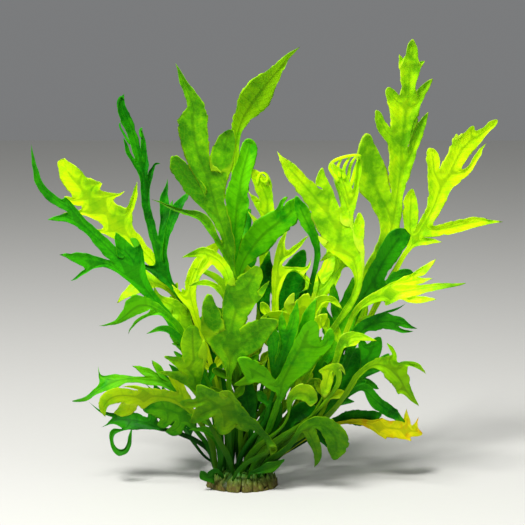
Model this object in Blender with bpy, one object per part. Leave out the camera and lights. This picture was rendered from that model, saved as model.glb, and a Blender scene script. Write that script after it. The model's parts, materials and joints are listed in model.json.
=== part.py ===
# Water sprite: lobed fronds in a loose tuft on one short crown, which is cut off flat where the ground was.
# The tables are in millimetres and the model is in metres. +Z is up, and the front of the tuft looks
# along -Y.
# Outlines are given as they line up seen from the front, a little above level. spot() then moves each point
# along its line of sight to its own depth, so that a frond keeps its outline wherever it leans.
import math

import bmesh
import bpy
from mathutils import Matrix, Vector
from mathutils.bvhtree import BVHTree

MM = 0.001
SIGHT_DISTANCE = 1000.0
SIGHT_HEIGHT = 233.0

CROWN_CENTRE = (-12.0, 0.0)
CROWN_HALF_SIZE = (16.5, 15.5, 9.0)
CROWN_LUMP = 0.9
FOOT_GAP = 0.35
ROW_PITCH = 2.8
ROW_SEATS = (2, 5, 6, 7, 8, 8, 8, 6, 5, 4)
ROW_REACH = 0.93
FRONT_LEAN = -50.0
BACK_LEAN = 6.0
LEAN_SPREAD = 1.3

BLADE_HALF_THICKNESS = 0.5
STALK_HALF_THICKNESS = 1.0
FOOT_HALF_WIDTH = 1.3
RIM_SPREAD = 0.35
BLADE_START = 1.9
TOOTH_LENGTH = 5.0
SHORT_LOBE = 12.0
LONG_LOBE = 30.0
LEAFLET_BASE = 2.6
SHORT_FROND = 80.0

LEFT = -1
RIGHT = 1

FRONT_TO_BACK = [
    "front_drooping_frond", "ground_right_frond", "ground_left_frond", "olive_cupped_frond",
    "front_left_frond",
    "front_paddle_frond", "hanging_trident_frond", "front_middle_frond", "left_curved_frond",
    "front_right_frond", "right_arched_frond", "right_hanging_frond", "inner_right_frond",
    "middle_dark_frond", "front_dark_frond", "low_dark_frond", "left_arching_frond", "left_curling_frond",
    "left_yellow_frond", "left_forked_frond", "lime_crested_frond", "right_centre_frond",
    "right_drooping_frond", "right_spray_frond", "broad_top_frond", "left_whip_frond", "far_left_frond",
    "yellow_fingered_frond", "left_strap_frond", "dark_right_frond", "slim_green_frond",
    "lime_forked_frond", "left_shaded_frond", "left_upright_frond", "mid_green_frond",
    "inner_right_dark_frond", "left_cluster_frond", "right_leafy_frond", "left_low_frond",
    "dark_folded_frond", "middle_shaded_frond", "tall_left_frond", "wilted_frond", "right_shaded_frond",
    "blunt_bright_frond", "left_upper_frond", "lime_ringlet_frond", "left_lime_frond", "tall_right_frond",
    "right_oval_frond", "right_lime_frond", "folded_top_frond",
]

LIME = ((0.50, 0.80, 0.01), 0.45)
GREEN = ((0.13, 0.42, 0.01), 0.45)
DARK = ((0.02, 0.17, 0.01), 0.5)
OLIVE = ((0.22, 0.38, 0.01), 0.5)
WILTED = ((0.45, 0.36, 0.02), 0.65)
ROOTSTOCK = ((0.10, 0.09, 0.03), 0.8)


def new_material(name, tone):
    colour, roughness = tone
    material = bpy.data.materials.new(name)
    material.use_nodes = True
    shader = material.node_tree.nodes["Principled BSDF"]
    shader.inputs["Base Color"].default_value = (*colour, 1.0)
    shader.inputs["Roughness"].default_value = roughness
    shader.inputs["Metallic"].default_value = 0.0
    return material


def finish(bm, name, tone, sharp_deg):
    # Turns a bmesh in millimetres into a named object in metres.
    bmesh.ops.scale(bm, vec=(MM, MM, MM), verts=bm.verts)
    mesh = bpy.data.meshes.new(name)
    bm.to_mesh(mesh)
    bm.free()
    mesh.shade_smooth()
    mesh.set_sharp_from_angle(angle=math.radians(sharp_deg))
    piece = bpy.data.objects.new(name, mesh)
    mesh.materials.append(new_material(name + "_surface", tone))
    bpy.context.scene.collection.objects.link(piece)
    piece.parent = plant
    return piece


# The crown is a low lumpy mound of old leaf bases with a flat cut underneath.
def build_crown():
    bm = bmesh.new()
    bmesh.ops.create_uvsphere(bm, u_segments=22, v_segments=12, radius=1.0)
    for v in bm.verts:
        turn = math.atan2(v.co.y, v.co.x)
        lump = 1.0 + 0.05 * math.sin(5.0 * turn + 0.6) * (1.0 - abs(v.co.z))
        lump += 0.03 * math.sin(9.0 * turn + 4.0 * v.co.z)
        v.co = Vector((v.co.x * CROWN_HALF_SIZE[0] * lump, v.co.y * CROWN_HALF_SIZE[1] * lump,
                       v.co.z * CROWN_HALF_SIZE[2]))
        if v.co.z > 2.0:
            v.co.z += CROWN_LUMP * math.sin(0.55 * v.co.x + 1.0) * math.cos(0.6 * v.co.y)
        v.co += Vector((*CROWN_CENTRE, 0.0))
    geometry = bm.verts[:] + bm.edges[:] + bm.faces[:]
    bmesh.ops.bisect_plane(bm, geom=geometry, plane_co=(0, 0, 0), plane_no=(0, 0, 1), clear_inner=True)
    rim = [e for e in bm.edges if e.is_boundary]
    bmesh.ops.holes_fill(bm, edges=rim, sides=0)
    bmesh.ops.recalc_face_normals(bm, faces=bm.faces)
    bmesh.ops.triangulate(bm, faces=bm.faces[:])
    surface = BVHTree.FromBMesh(bm)
    finish(bm, "crown", ROOTSTOCK, 40)
    return surface


def crown_top(x, y):
    # The highest of the crown's surface under a stalk that stands at x, y.
    heights = []
    for dx, dy in ((0, 0), (1.6, 0), (-1.6, 0), (0, 1.3), (0, -1.3)):
        hit = crown_surface.ray_cast(Vector((x + dx, y + dy, 60.0)), Vector((0, 0, -1)))[0]
        if hit is not None:
            heights.append(hit.z)
    return max(heights)


def seats_from_front():
    # Places for the stalks on the crown, row by row from the front, and each row from the left.
    seats = []
    middle_row = (len(ROW_SEATS) - 1) / 2
    for row, count in enumerate(ROW_SEATS):
        y = (row - middle_row) * ROW_PITCH
        half = CROWN_HALF_SIZE[0] * math.sqrt(ROW_REACH ** 2 - (y / CROWN_HALF_SIZE[1]) ** 2)
        pitch = 2.0 * half / count
        places = []
        for i in range(count):
            places.append((CROWN_CENTRE[0] + (i - (count - 1) / 2) * pitch, CROWN_CENTRE[1] + y))
        seats.append(places)
    return seats


class Frond:
    # One frond: a stalk that runs on as the midrib of a lobed blade, grown as a flat sheet, then thickened.
    # lean, turn and bow say how its surface lies in depth: mm back per 100 mm of height, per 100 mm to the
    # right, and per 100 mm of reach squared. roll turns the blade about its own midrib: mm back per mm to the
    # right of it. facing turns the whole frond about the crown's upright line.
    def __init__(self, name, tone, seat, spine, lobes=(), lean=0.0, turn=0.0, bow=0.0, roll=0.0, facing=0.0):
        self.name = name
        self.tone = tone
        self.facing = math.radians(facing)
        self.turned = Matrix.Translation((*CROWN_CENTRE, 0.0)) @ Matrix.Rotation(self.facing, 4, "Z")
        self.seat = seat
        self.foot = (self.turned.inverted() @ Vector((*seat, 0.0))).xy if facing else seat
        self.lean = lean
        self.turn = turn
        self.bow = bow
        self.roll = roll
        widths = [sum(entry[2:]) / len(entry[2:]) for entry in spine[:-1]]
        blade = next((i for i, width in enumerate(widths) if width > BLADE_START), len(widths) - 1)
        self.rib_start = Vector(spine[max(0, blade - 1)][:2])
        self.rib = Vector(spine[-1][:2]) - self.rib_start
        self.bm = bmesh.new()
        self.thick = self.bm.verts.layers.float.new("thick")
        self.grow_frond(spine, lobes)
        self.thicken()
        finish(self.bm, name, tone, 50)

    def spot(self, x, z, forward=0.0):
        # The real place of an outline point. Fronds of the other sides are drawn in their own plane.
        reach = math.hypot(x - self.foot[0], z) / 100.0
        y = self.foot[1] + self.lean * z / 100.0 + self.turn * (x - self.foot[0]) / 100.0
        y += self.bow * reach ** 2 - forward
        past = Vector((x, z)) - self.rib_start
        share = min(1.0, max(0.0, 2.0 * past.dot(self.rib) / self.rib.length_squared))
        y += self.roll * share * past.cross(self.rib.normalized())
        if self.facing == 0.0:
            away = y / SIGHT_DISTANCE
            return Vector((x + x * away, y, z + (z - SIGHT_HEIGHT) * away))
        return self.turned @ Vector((x, y, z))

    def row_at(self, middle, along, left, right, forward):
        # Left, middle and right places for a station, square to the way the midrib runs there.
        across = Vector((along[1], -along[0])).normalized()
        left += RIM_SPREAD * min(1.0, max(0.0, left - 1.4))
        right += RIM_SPREAD * min(1.0, max(0.0, right - 1.4))
        return [self.spot(middle[0] - across.x * left, middle[1] - across.y * left, forward),
                self.spot(middle[0], middle[1], forward),
                self.spot(middle[0] + across.x * right, middle[1] + across.y * right, forward)]

    def extrude_row(self, row, places, thickness):
        edges = [e for e in row[1].link_edges if e.other_vert(row[1]) in (row[0], row[2])]
        made = bmesh.ops.extrude_edge_only(self.bm, edges=edges)["geom"]
        made = [v for v in made if isinstance(v, bmesh.types.BMVert)]
        new_row = [min(made, key=lambda v, old=old: (v.co - old.co).length) for old in row]
        for vert, place in zip(new_row, places):
            vert.co = place
            vert[self.thick] = 0.0
        new_row[1][self.thick] = thickness
        return new_row

    def close_tip(self, row, place):
        row = self.extrude_row(row, [place] * 3, 0.0)
        bmesh.ops.pointmerge(self.bm, verts=row, merge_co=place)

    def grow_frond(self, spine, lobes):
        spine = [entry if len(entry) != 3 else (*entry, entry[2]) for entry in spine]
        foot_z = crown_top(*self.seat) + FOOT_GAP
        places = []
        for dx in (-FOOT_HALF_WIDTH, 0.0, FOOT_HALF_WIDTH):
            local = Vector((self.foot[0] + dx, self.foot[1], foot_z))
            places.append(local if self.facing == 0.0 else self.turned @ local)
        row = [self.bm.verts.new(place) for place in places]
        row[1][self.thick] = STALK_HALF_THICKNESS
        self.bm.edges.new(row[:2])
        self.bm.edges.new(row[1:])
        # The stalk leaves the crown steeply and then turns outwards.
        start = Vector((self.foot[0], foot_z))
        first = Vector(spine[0][:2])
        bend = Vector((start.x + 0.22 * (first.x - start.x), start.y + 0.45 * (first.y - start.y)))
        row = self.extrude_row(row, self.row_at(bend, first - start, 1.3, 1.3, 0.0), STALK_HALF_THICKNESS)
        rows = []
        for i, (x, z, left, right) in enumerate(spine[:-1]):
            before = Vector(spine[i - 1][:2]) if i else Vector((self.foot[0], foot_z))
            along = Vector(spine[i + 1][:2]) - before
            width = left + right
            share = min(1.0, max(0.0, (width - 3.6) / 4.0))
            thickness = STALK_HALF_THICKNESS + (BLADE_HALF_THICKNESS - STALK_HALF_THICKNESS) * share
            thickness = min(thickness, 0.45 * width)
            row = self.extrude_row(row, self.row_at((x, z), along, left, right, 0.0), thickness)
            rows.append((row, Vector((x, z)), along))
        self.close_tip(row, self.spot(*spine[-1]))
        for lobe in lobes:
            self.grow_lobe(rows, 0.0, **lobe)

    def grow_lobe(self, rows, forward_at_base, at, side, tip, width, path=None, forward=0.0, subs=(),
                  blunt=False):
        # A lobe grows out of the rim between two stations. Its own lobes grow out of its stations in turn.
        (row_a, middle_a, _), (row_b, middle_b, along) = rows[at], rows[at + 1]
        rim = [row_a[0], row_b[0]] if side == LEFT else [row_b[2], row_a[2]]
        middles = [row_a[1], row_b[1]] if side == LEFT else [row_b[1], row_a[1]]
        edge = next(e for e in rim[0].link_edges if e.other_vert(rim[0]) is rim[1])
        heart = bmesh.utils.edge_split(edge, rim[0], 0.5)[1]
        heart[self.thick] = BLADE_HALF_THICKNESS
        for middle in middles:
            face = next(f for f in heart.link_faces if middle in f.verts)
            bmesh.utils.face_split(face, heart, middle)
        row = [rim[0], heart, rim[1]]
        start = self.flat_place(rows, at, side)
        tip = Vector(tip)
        if path is None:
            length = (tip - start).length
            out = Vector((along[1], -along[0])).normalized() * side
            bend = start + (tip - start) * 0.5 + (out - along.normalized() * 0.6) * 0.07 * length
            count = sum(length >= step for step in (TOOTH_LENGTH, SHORT_LOBE, LONG_LOBE))
            shares = {0: (), 1: (0.5,), 2: (0.4, 0.8), 3: (0.3, 0.6, 0.85)}[count]
            slim = {0: (), 1: (1.0,), 2: (1.0, 0.85 if blunt else 0.62),
                    3: (1.0, 0.9, 0.75 if blunt else 0.5)}[count]
            path = []
            for share, slimness in zip(shares, slim):
                point = start * (1 - share) ** 2 + bend * 2 * share * (1 - share) + tip * share ** 2
                path.append((point.x, point.y, width * slimness))
        stations = [(row, start, along)]
        total = sum((Vector(b[:2]) - Vector(a[:2])).length for a, b in zip([start] + path, path + [tip]))
        run = 0.0
        last = start
        for i, (x, z, half) in enumerate(path):
            here = Vector((x, z))
            run += (here - last).length
            following = Vector(path[i + 1][:2]) if i + 1 < len(path) else tip
            lift = forward_at_base + forward * (run / total) ** 1.5
            thickness = min(BLADE_HALF_THICKNESS, 0.5 * half)
            row = self.extrude_row(row, self.row_at(here, following - last, half, half, lift), thickness)
            stations.append((row, here, following - last))
            last = here
        self.close_tip(row, self.spot(tip.x, tip.y, forward_at_base + forward))
        for sub in subs:
            share = (sub["at"] + 0.5) / (len(path) + 1)
            self.grow_lobe(stations, forward_at_base + forward * share ** 1.5, **sub)

    def flat_place(self, rows, at, side):
        # Where a lobe's base lies in the flat outline, close enough to shape the lobe from.
        middle = (rows[at][1] + rows[at + 1][1]) / 2
        widths = [(row[1].co - row[0 if side == LEFT else 2].co).length for row, _, _ in rows[at:at + 2]]
        along = rows[at + 1][1] - rows[at][1]
        out = Vector((along[1], -along[0])).normalized() * side
        return middle + out * sum(widths) / 2

    def thicken(self):
        # Gives the sheet a lens section: midribs stand apart and the rims of both skins meet in one edge.
        bm = self.bm
        bmesh.ops.triangulate(bm, faces=bm.faces[:], quad_method="SHORT_EDGE")
        bmesh.ops.recalc_face_normals(bm, faces=bm.faces)
        bm.normal_update()
        offsets = {v: v.normal * v[self.thick] for v in bm.verts}
        top = bm.verts[:]
        copied = bmesh.ops.duplicate(bm, geom=top + bm.edges[:] + bm.faces[:])
        under_faces = [f for f in copied["geom"] if isinstance(f, bmesh.types.BMFace)]
        bmesh.ops.reverse_faces(bm, faces=under_faces)
        for v in top:
            copied["vert_map"][v].co = v.co - offsets[v]
            v.co += offsets[v]
        bmesh.ops.remove_doubles(bm, verts=bm.verts, dist=0.0005)
        bmesh.ops.holes_fill(bm, edges=[e for e in bm.edges if e.is_boundary], sides=4)
        bmesh.ops.triangulate(bm, faces=[f for f in bm.faces if len(f.verts) > 3])
        bmesh.ops.recalc_face_normals(bm, faces=bm.faces)


def lobe(at, side, tip, width, **more):
    return dict(at=at, side=side, tip=tip, width=width, **more)


def way(at, side, path, tip, **more):
    # A lobe whose stations are all given, as (x, z, half width).
    return dict(at=at, side=side, tip=tip, width=0.0, path=path, **more)


def with_leaflets(spine, lobes, leaflets):
    # Small pinnae low on a stalk, as (height, half width, left, right), where left and right say how far off
    # the stalk each tip is. Two stations close together give them a base.
    spine = [entry if len(entry) != 3 else (*entry, entry[2]) for entry in spine]
    lobes = [dict(entry) for entry in lobes]
    for height, half, left, right in leaflets:
        at = max(i for i, entry in enumerate(spine[:-1]) if entry[1] < height and all(
            before[1] < height for before in spine[:i]))
        low, high = spine[at], spine[at + 1]
        added = []
        for z in (height - LEAFLET_BASE / 2, height + LEAFLET_BASE / 2):
            share = (z - low[1]) / (high[1] - low[1])
            added.append((low[0] + (high[0] - low[0]) * share, z, low[2], low[3]))
        for entry in lobes:
            entry["at"] += 2 if entry["at"] >= at else 0
        spine[at + 1:at + 1] = added
        middle = (added[0][0] + added[1][0]) / 2
        for side, off in ((LEFT, left), (RIGHT, right)):
            if off is not None:
                lobes.append(lobe(at + 1, side, (middle + off[0], height + off[1]), half))
    return spine, lobes


def frond(name, tone, spine, lobes=(), leaflets=(), **more):
    spine, lobes = with_leaflets(spine, lobes, leaflets)
    fronds.append(dict(name=name, tone=tone, spine=spine, lobes=lobes, **more))


def grow_all():
    # Fronds further back stand in a row further back and lean forwards less, so that none meets another.
    # Within a row they stand in the order in which they spread to the sides.
    own_plane = [f for f in fronds if "facing" in f]
    drawn = sorted((f for f in fronds if "facing" not in f), key=lambda f: FRONT_TO_BACK.index(f["name"]))
    for i, spec in enumerate(drawn):
        share = 1.0 - i / (len(drawn) - 1)
        spec["lean"] = BACK_LEAN + (FRONT_LEAN - BACK_LEAN) * share ** LEAN_SPREAD
        spec["to_right"] = (spec["spine"][0][0] - CROWN_CENTRE[0]) / spec["spine"][0][1]
    for spec in own_plane:
        spec["to_right"] = math.sin(math.radians(spec["facing"]))
    queue = drawn + own_plane
    for row in seats_from_front():
        group = sorted(queue[:len(row)], key=lambda f: f["to_right"])
        queue = queue[len(row):]
        for spec, seat in zip(group, row):
            spec.pop("to_right")
            Frond(seat=seat, **spec)


def pinnate(name, tone, facing, height, sway, lean, bow, breadth):
    # A frond of the sides and the back: a bare stalk, and a blade whose lobes get shorter towards its tip.
    spine = []
    widths = (1.3, 1.5, 2.2, 3.6, 4.2, 4.4, 4.0, 2.6)
    shares = (0.24, 0.44, 0.52, 0.60, 0.69, 0.78, 0.86, 0.93)
    for share, width in zip(shares, widths):
        stretch = breadth / 20.0 if share > 0.5 else 1.0
        spine.append((sway * share ** 1.6, height * share, width * stretch))
    spine.append((sway, height))
    lobes = []
    for at in range(1, 7):
        length = breadth * (1.15 - 0.14 * at)
        middle = (Vector(spine[at][:2]) + Vector(spine[at + 1][:2])) / 2
        # On a short frond the lobes of both sides take turns, so that they have room.
        sides = (LEFT, RIGHT) if height > SHORT_FROND else (LEFT,) if at % 2 else (RIGHT,)
        for side in sides:
            reach = length * (0.86 if (at + (side == RIGHT)) % 2 else 1.0)
            tip = middle + Vector((side * reach, reach * (0.55 + 0.09 * at)))
            if height > SHORT_FROND and (at, side) in ((2, LEFT), (5, RIGHT)):
                continue
            subs = ()
            if at == 1:
                subs = [lobe(1, side, tip + Vector((-side * reach * 0.12, -reach * 0.42)), 1.5)]
            lobes.append(lobe(at, side, (tip.x, tip.y), breadth * (0.15 - 0.008 * at), subs=subs))
    frond(name, tone, spine, lobes, lean=lean, bow=bow, facing=facing)


for old in list(bpy.data.objects):
    bpy.data.objects.remove(old, do_unlink=True)
plant = bpy.data.objects.new("plant", None)
bpy.context.scene.collection.objects.link(plant)
crown_surface = build_crown()
fronds = []

# Tall fronds of the right side.
frond("tall_right_frond", LIME, leaflets=[(60, 2.6, (-3, 12), (11, 3)), (84, 2.4, None, (11, 3))],
    turn=16, roll=0.5, spine=[
    (20, 45, 1.6), (38, 72, 1.7), (50, 95, 4.5, 2.2), (58, 113, 7.2, 3.4), (63.5, 131, 5.6, 4.2),
    (66, 148, 2.8, 3), (67, 160, 5.5, 5), (68, 172, 7, 2), (68.7, 182, 5.8, 5.6), (69.5, 190, 7.4, 5.8),
    (70.8, 197.5, 4, 4.2), (70.8, 202, 2.8, 2.8), (71, 209.5, 4.2, 5.2), (72, 216, 2.3, 2.6),
    (72.6, 221.5, 2.3, 2.2), (72.8, 225.2)], lobes=[
    way(4, LEFT, [(54.5, 151, 7.6), (52.6, 166, 5.6)], (49.8, 178.3), forward=2),
    way(7, LEFT, [(58.8, 181.5, 2.8), (56.7, 186.3, 2.2)], (55.3, 190)),
    way(6, RIGHT, [(74, 173, 2.4), (76.7, 182, 2.2)], (80, 188.3),
        subs=[lobe(1, LEFT, (75.2, 188.5), 1.0)]),
    way(9, LEFT, [(62.9, 197.6, 2.6)], (61.7, 201.6)),
    way(9, RIGHT, [(77.2, 199.4, 2.2)], (81, 204.3)),
    way(12, LEFT, [(67.9, 214.4, 1.3)], (66.8, 217)),
    way(12, RIGHT, [(75.9, 212.3, 1.3)], (78, 213.6))])

frond("right_lime_frond", LIME, leaflets=[(60, 2.4, (-2, 12), (11, 2)), (84, 2.6, (-3, 12), (11, 3))],
    turn=20, roll=0.25, spine=[
    (26, 40, 1.5), (44, 72, 1.5), (59, 98, 1.5), (68, 115, 1.5), (73, 122.5, 1.7), (76.5, 128.5, 2.2),
    (80, 135, 3), (84, 142, 3.4), (88, 151.5, 7.6, 4.8), (91.5, 158.5, 5.4, 6.6), (94.5, 164, 4.6, 3),
    (98, 170, 6.2, 3.8), (102, 175, 4.8, 4.8), (106.8, 178, 2, 3.4), (110.5, 180.8, 1.8), (113, 182.9, 1.7),
    (115.3, 185)], lobes=[
    way(8, LEFT, [(83.4, 164.3, 3.6), (82.8, 168.2, 2.8)], (81.8, 171.4)),
    way(9, RIGHT, [(101.3, 161.6, 1.3), (105.6, 167.4, 1.4)], (110.6, 174)),
    way(11, LEFT, [(95.3, 176.2, 1.4)], (95.2, 178)),
    way(12, LEFT, [(101.8, 180, 1.8)], (102.4, 182.3)),
    way(5, RIGHT, [(88, 130.8, 2.9), (97, 133, 3.2), (106, 134.9, 2.1)], (118.5, 134.6), forward=3),
    way(4, RIGHT, [(82, 125, 1.6)], (87.7, 124)),
    way(4, LEFT, [(72, 133, 3.4), (72.4, 142, 3.3), (72.8, 147.5, 2.4)], (73, 151.5))])

frond("right_centre_frond", LIME, leaflets=[(52, 2.4, (-4, 11), (8, 2.5)), (78, 2.2, (-4, 10), None)],
    turn=6, roll=0.35, spine=[
    (11, 35, 1.4), (26, 65, 1.4), (40, 90, 1.6), (47.2, 104, 2), (44, 117, 6.2, 4.4), (37.5, 128.5, 8, 6),
    (31, 138.5, 7.6, 6.4), (24.6, 147, 6, 4.6), (18.3, 154, 4.5, 4), (12.2, 161, 2.9, 2.7), (6.6, 169)],
    lobes=[
    way(3, RIGHT, [(46.9, 126, 2.4), (47, 133.5, 2.4)], (47, 138.5), forward=1.5),
    way(4, RIGHT, [(40.6, 134, 3.2), (41.7, 143, 3.8), (40, 150.5, 3), (37.6, 157, 2.8)], (33.5, 164),
        forward=-2,
        subs=[way(2, RIGHT, [(45.6, 155, 1.3), (46.4, 162, 1.3)], (46.2, 168.6))]),
    lobe(5, RIGHT, (34, 155.5), 1.3),
    way(6, RIGHT, [(27.9, 155, 2.5)], (28.6, 161.4)),
    lobe(4, LEFT, (27.5, 126.5), 1.8),
    lobe(8, LEFT, (11.5, 156.5), 1.2)])

frond("dark_folded_frond", DARK, turn=12, roll=0.4, spine=[
    (26, 42, 1.4), (39, 72, 1.5), (48, 94, 2.4), (55, 107, 4.4), (61, 118, 5), (66.5, 126, 4.6), (70.8, 130)],
    lobes=[
    way(2, RIGHT, [(60, 103, 1.4), (66, 107, 2.7), (72, 107.8, 2.2)], (76.5, 106))])

frond("right_spray_frond", LIME, leaflets=[(46, 2.4, (-4, 10), (10, 3)), (72, 2.2, (-4, 10), (9, 4))],
    turn=4, roll=-0.6, spine=[
    (26, 32, 1.4), (36, 62, 1.4), (43.5, 86, 1.4), (50.5, 94, 1.8), (58, 97.3, 3.4), (66.5, 98.6, 3.6),
    (75, 100, 2.4), (84, 101.7, 1.9), (94, 102.2, 1.2), (104.5, 104.2)], lobes=[
    way(4, LEFT, [(70, 104, 2), (77, 105.2, 1.7)], (84, 106.3), forward=-2,
        subs=[way(1, LEFT, [(79.5, 110.5, 1.8)], (85.3, 116))]),
    way(5, RIGHT, [(72, 95.4, 1.8), (79, 95.4, 1.7)], (85.5, 95.8), forward=1),
    lobe(4, RIGHT, (59.5, 90.8), 1.7)])

frond("dark_right_frond", DARK, roll=0.5, spine=[
    (29, 34, 1.3), (39, 60, 1.4), (47, 79, 2.6), (54, 82.6, 3.8), (61, 84.3, 3.6), (68, 83.8, 2), (76, 81.3)],
    lobes=[
    lobe(4, RIGHT, (73.5, 79.8), 1.1),
    way(3, LEFT, [(64, 89.5, 1)], (70, 93.3))])

# Top fronds of the middle.
frond("broad_top_frond", OLIVE, leaflets=[(54, 2.4, (-10, 7), (10, 8)), (84, 2.4, (-9, 8), (9, 8))],
    turn=-4, roll=-0.55, spine=[
    (-15, 40, 1.5), (-16, 75, 1.6), (-16.5, 95, 2), (-16.7, 112.5, 2.2), (-19.2, 124, 2.2, 3),
    (-22.3, 134, 2.8, 5), (-26.6, 149, 3, 6), (-30.5, 162, 5.5, 5), (-33.5, 171, 7.4, 5.6),
    (-35.5, 182, 7.8, 6.8), (-35.8, 187.5, 7.2, 6.4), (-36, 191, 2.6, 5.4), (-37.5, 198, 1.9, 2.4),
    (-40.5, 205, 1.5), (-44, 213.5)], lobes=[
    way(6, RIGHT, [(-21.5, 160, 5.2), (-20, 171, 4.8), (-18.4, 176.5, 3.6)], (-16.6, 182)),
    way(5, LEFT, [(-34, 150.2, 4.6), (-40.2, 158.4, 4.4), (-42.8, 162, 3.6)], (-45.8, 166.6), forward=-1),
    way(3, LEFT, [(-29.5, 134.3, 2.2), (-38, 138.8, 1.6), (-46, 141.5, 0.9)], (-57, 145.5))])

frond("folded_top_frond", OLIVE, leaflets=[(64, 2.4, (-9, 9), (10, 8)), (100, 2.4, (-8, 9), (8, 9))],
    roll=0.8, spine=[
    (-10.5, 50, 1.4), (-11.5, 90, 1.5), (-12.8, 130, 1.8), (-14.6, 160, 1.8), (-14.4, 177, 2.2),
    (-10.6, 187.5, 5), (-4.4, 196, 7.2), (1.5, 203.5, 5.6, 4), (6.2, 210.5, 2.3), (10.8, 216, 1.4),
    (17.5, 221.3)], lobes=[
    lobe(7, RIGHT, (6.4, 204.5), 1.2),
    lobe(8, RIGHT, (9.8, 210.3), 1.0)])

frond("blunt_bright_frond", GREEN, leaflets=[(74, 2.4, (-9, 8), (9, 8))],
    roll=0.35, spine=[
    (-12, 50, 1.4), (-15, 90, 1.5), (-15.8, 114, 2.2), (-15.4, 126, 3.6), (-14.6, 138, 4.8),
    (-12.9, 150, 5.4), (-10.6, 162, 4.4), (-8.2, 170.5, 3.4), (-7.6, 173.4, 2.7), (-7.2, 175.6)], lobes=[
    lobe(4, RIGHT, (-7.2, 144.6), 1)])

frond("lime_ringlet_frond", LIME, leaflets=[(62, 2.4, (-8, 8), (9, 8)), (104, 2.2, (-8, 8), (8, 8))],
    roll=0.5, spine=[
    (-4.5, 50, 1.3), (-2.5, 95, 1.4), (0, 120, 2), (1.3, 135, 2.6), (1, 145, 3.4), (-2, 153, 3.2),
    (-4.6, 157.5, 2.2), (-6, 161)], lobes=[
    way(2, LEFT, [(-4.5, 133, 1.8)], (-9, 139.5)),
    way(3, LEFT, [(-4.5, 144, 1.6)], (-8, 150)),
    way(4, RIGHT, [(1.2, 152.5, 1), (0.9, 156.5, 0.9), (-0.8, 159.3, 0.8)], (-2.4, 157.8)),
    lobe(2, RIGHT, (5.7, 140.3), 1.1)])

frond("mid_green_frond", GREEN, leaflets=[(60, 2.4, (-9, 7), (9, 8)), (96, 2.2, (-8, 7), (8, 8))],
    roll=0.3, spine=[
    (-12.5, 50, 1.4), (-13.5, 90, 1.6), (-13, 111, 2.2), (-7, 121, 5.6), (0, 129, 6.8), (8, 134.5, 6),
    (13.5, 139.5, 4.4), (16.5, 147)], lobes=[
    lobe(5, LEFT, (10.5, 146), 1.5)])

frond("slim_green_frond", GREEN, leaflets=[(56, 2.4, (-8, 8), None), (70, 2.4, (-7, 8), None)],
    roll=-0.4, spine=[
    (8, 45, 1.3), (17, 78, 1.3), (22.5, 97.5, 1.3), (24, 107.5, 1.3), (25.7, 116.5, 1.4), (25, 126, 2),
    (21, 134, 3.4), (17.8, 141, 3), (15.5, 148)])

frond("yellow_fingered_frond", LIME, leaflets=[(56, 2.4, (-8, 8), (9, 7)), (86, 2.2, (-7, 8), (8, 8))],
    roll=0.5, spine=[
    (1.5, 45, 1.5), (4, 75, 1.7), (5.2, 98.5, 1.8), (6.5, 112, 1.8), (8.2, 123, 1.6), (11, 128.5)], lobes=[
    way(3, RIGHT, [(12, 118, 1.6), (16, 122, 1.2)], (21, 126.3)),
    way(2, RIGHT, [(13.5, 110, 0.8), (19, 106.5, 0.8)], (24.5, 102.5),
        subs=[way(1, LEFT, [(21, 111, 0.9)], (23, 117.5))])])

frond("middle_shaded_frond", DARK, leaflets=[(58, 2.4, (-7, 8), (8, 8))],
    turn=2, spine=[
    (-2, 45, 1.3), (3, 72, 1.6), (6, 88, 3), (10, 97, 6.4), (13.5, 106, 6.4), (16.5, 113, 4), (20, 119.5)],
    lobes=[
    way(1, LEFT, [(-1, 95, 3.2), (0.5, 107, 3.6)], (1.5, 118)),
    way(2, RIGHT, [(18, 96, 2.8)], (23.5, 101)),
    lobe(3, LEFT, (7, 116), 2.2)])

# Fronds of the left side.
frond("far_left_frond", DARK, leaflets=[(54, 2.4, (-10, 3), (5, 10))],
    turn=-4, roll=0.5, spine=[
    (-25, 45, 1.5), (-34, 65, 1.6), (-41, 76.5, 2), (-50, 88, 2.4), (-60, 101, 2.7), (-73, 115.5, 3),
    (-81.5, 124, 2.9), (-89.5, 131, 2.6), (-97, 140.5, 2), (-103, 144.5, 2), (-109.5, 149.5, 1.9),
    (-114, 158, 1.5), (-116.2, 173)], lobes=[
    lobe(8, RIGHT, (-100, 147.5), 1),
    way(7, LEFT, [(-99, 137, 2.6)], (-106.3, 136)),
    way(4, RIGHT, [(-70, 119.5, 4.2)], (-75.5, 129.5), subs=[lobe(0, RIGHT, (-67.5, 125.5), 2)]),
    way(4, LEFT, [(-78, 113.2, 2), (-90, 115, 2.9)], (-103.5, 118.3), forward=1.5,
        subs=[way(1, LEFT, [(-90, 109, 1.5)], (-97.5, 104.5))])])

frond("left_lime_frond", LIME, leaflets=[(68, 2.4, None, (4, 10))],
    turn=-8, roll=-0.5, spine=[
    (-23, 55, 1.4), (-37, 85, 1.6), (-48, 104, 1.8), (-55, 114, 2.8), (-69, 128, 4.6), (-79, 138.5, 6.4),
    (-87, 146, 6), (-92, 152, 5.6), (-97.5, 158.5, 4.4), (-102, 165.5)], lobes=[
    lobe(6, RIGHT, (-80, 153.8), 3, blunt=True),
    way(5, RIGHT, [(-76, 147, 1.7)], (-69.5, 150)),
    way(4, RIGHT, [(-67, 140.5, 2), (-65, 148, 1.5)], (-63.5, 155)),
    lobe(6, LEFT, (-99.5, 147), 1.6),
    lobe(7, RIGHT, (-90.5, 159.2), 1.5),
    way(5, LEFT, [(-92, 139.5, 1.4)], (-102, 139)),
    lobe(4, LEFT, (-85, 130.5), 1.4)])

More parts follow.
